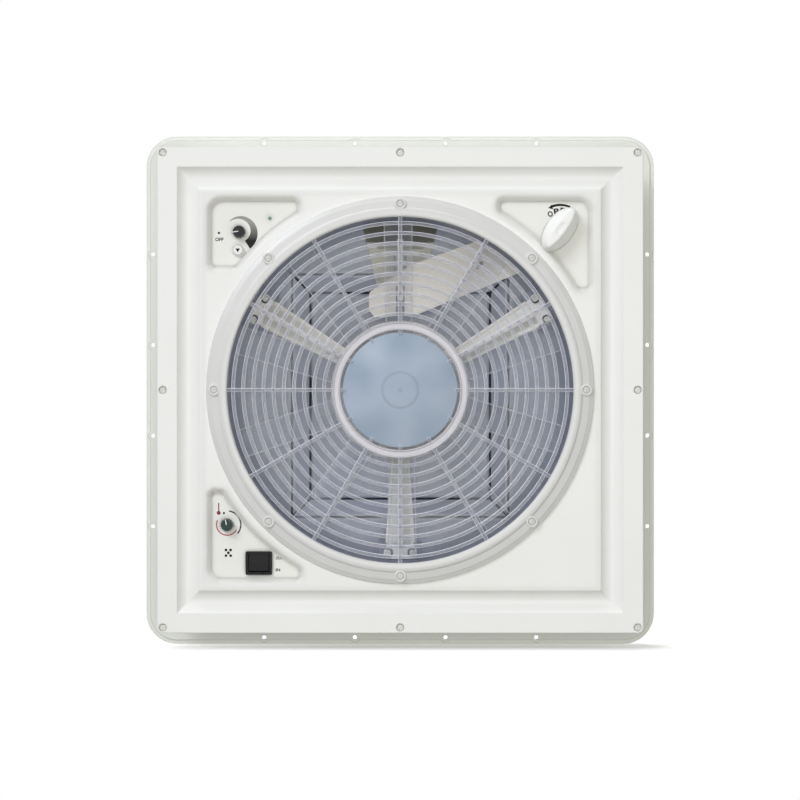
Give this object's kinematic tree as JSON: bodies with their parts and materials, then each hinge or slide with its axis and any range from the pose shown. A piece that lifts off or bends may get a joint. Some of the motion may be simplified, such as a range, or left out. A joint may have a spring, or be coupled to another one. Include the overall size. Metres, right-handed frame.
{
  "type": "powered roof vent",
  "caption": "Square powered roof vent with a see-through tilting lid on a crank-driven lift arm, an axial fan in a round duct, a guard grille, a coved inner frame, dials and a switch.",
  "frame": {"origin": "centre of the roof cut-out on the roof's outer skin, where the flange rests", "axes": "+Z out of the roof towards the lid, +X to the right and +Y downwards as seen from inside the caravan, with the lid's hinge on the -Y side"},
  "size_m": [0.47, 0.47, 0.138],
  "materials": {
    "roof_plastic": "satin moulded, slightly warm white",
    "frame_plastic": "satin moulded white",
    "seal_rubber": "matt extruded",
    "steel": "bright zinc plated",
    "clear_grille": "clear moulded, frosted on the ring",
    "carrier_plastic": "satin moulded white",
    "motor_steel": "pressed and plated",
    "gear_plastic": "black moulded",
    "black_plastic": "black moulded",
    "green_lens": "coloured clear lens",
    "fuse_plastic": "satin moulded white",
    "board": "solder-masked laminate",
    "terminal_plastic": "moulded green",
    "clear_blade": "clear smoke-blue moulded",
    "knob_plastic": "satin moulded white",
    "lever_plastic": "cream moulded",
    "tinted_dome": "smoke-blue see-through sheet, formed",
    "dial_plastic": "near-black moulded"
  },
  "bodies": {
    "frame": {"roof_frame": "roof_plastic", "fan_duct": "roof_plastic", "duct_screws": "steel", "hinge_brackets": "roof_plastic", "hinge_pins": "steel", "kerb_seal": "seal_rubber", "inner_frame": "frame_plastic", "inner_frame_screws": "steel", "guard_grille": "clear_grille", "grille_screws": "steel", "motor_carrier": "carrier_plastic", "carrier_screws": "steel", "motor_can": "motor_steel", "motor_end_cap": "motor_steel", "motor_screws": "steel", "gearbox_housing": "gear_plastic", "gearbox_cover": "gear_plastic", "gearbox_screws": "steel", "crank_bush": "frame_plastic", "speed_pot": "black_plastic", "thermostat_pot": "black_plastic", "power_led": "green_lens", "fuse_cap": "fuse_plastic", "fuse_holder": "black_plastic", "switch_body": "black_plastic", "control_board": "board", "relay": "black_plastic", "terminal_block": "terminal_plastic"},
    "fan": {"fan_rotor": "clear_blade", "motor_shaft": "steel", "hub_nut": "steel"},
    "crank": {"crank_knob": "knob_plastic", "crank_shaft": "steel"},
    "arm": {"lift_arm": "lever_plastic", "arm_shaft": "steel", "slide_pin": "steel"},
    "lid": {"dome": "tinted_dome", "track_bracket": "lever_plastic", "track_screws": "steel", "hinge_leaves": "roof_plastic", "leaf_screws": "steel"},
    "speed_dial": {"speed_knob": "dial_plastic", "speed_shaft": "steel"},
    "thermostat_dial": {"thermostat_knob": "dial_plastic", "thermostat_shaft": "steel"},
    "rocker": {"switch_rocker": "black_plastic"}
  },
  "joints": [
    {"name": "fan_spin", "type": "hinge", "parent": "frame", "child": "fan", "pos_m": [0, 0, -0.03], "axis": [0, 0, 1], "continuous": true},
    {"name": "lid_tilt", "type": "hinge", "parent": "frame", "child": "lid", "pos_m": [0, -0.2282, 0.02], "axis": [1, 0, 0], "range_deg": [0, 50]},
    {"name": "arm_swing", "type": "hinge", "parent": "frame", "child": "arm", "pos_m": [0.088, -0.1602, 0.02], "axis": [1, 0, 0], "range_deg": [0, 100]},
    {"name": "crank_turn", "type": "hinge", "parent": "frame", "child": "crank", "pos_m": [0.1444, -0.1452, -0.03], "axis": [0, 0, -1], "range_deg": [0, 1800]},
    {"name": "speed_knob_turn", "type": "hinge", "parent": "frame", "child": "speed_dial", "pos_m": [-0.1461, -0.1434, -0.05], "axis": [0, 0, 1], "range_deg": [0, 245]},
    {"name": "thermostat_knob_turn", "type": "hinge", "parent": "frame", "child": "thermostat_dial", "pos_m": [-0.157, 0.1221, -0.05], "axis": [0, 0, 1], "range_deg": [0, 300]},
    {"name": "rocker_tip", "type": "hinge", "parent": "frame", "child": "rocker", "pos_m": [-0.1282, 0.1569, -0.0464], "axis": [1, 0, 0], "range_deg": [0, 16]}
  ],
  "couplings": [
    {"joint": "arm_swing", "follows": "lid_tilt", "ratio": 2},
    {"joint": "crank_turn", "follows": "lid_tilt", "ratio": 36}
  ]
}
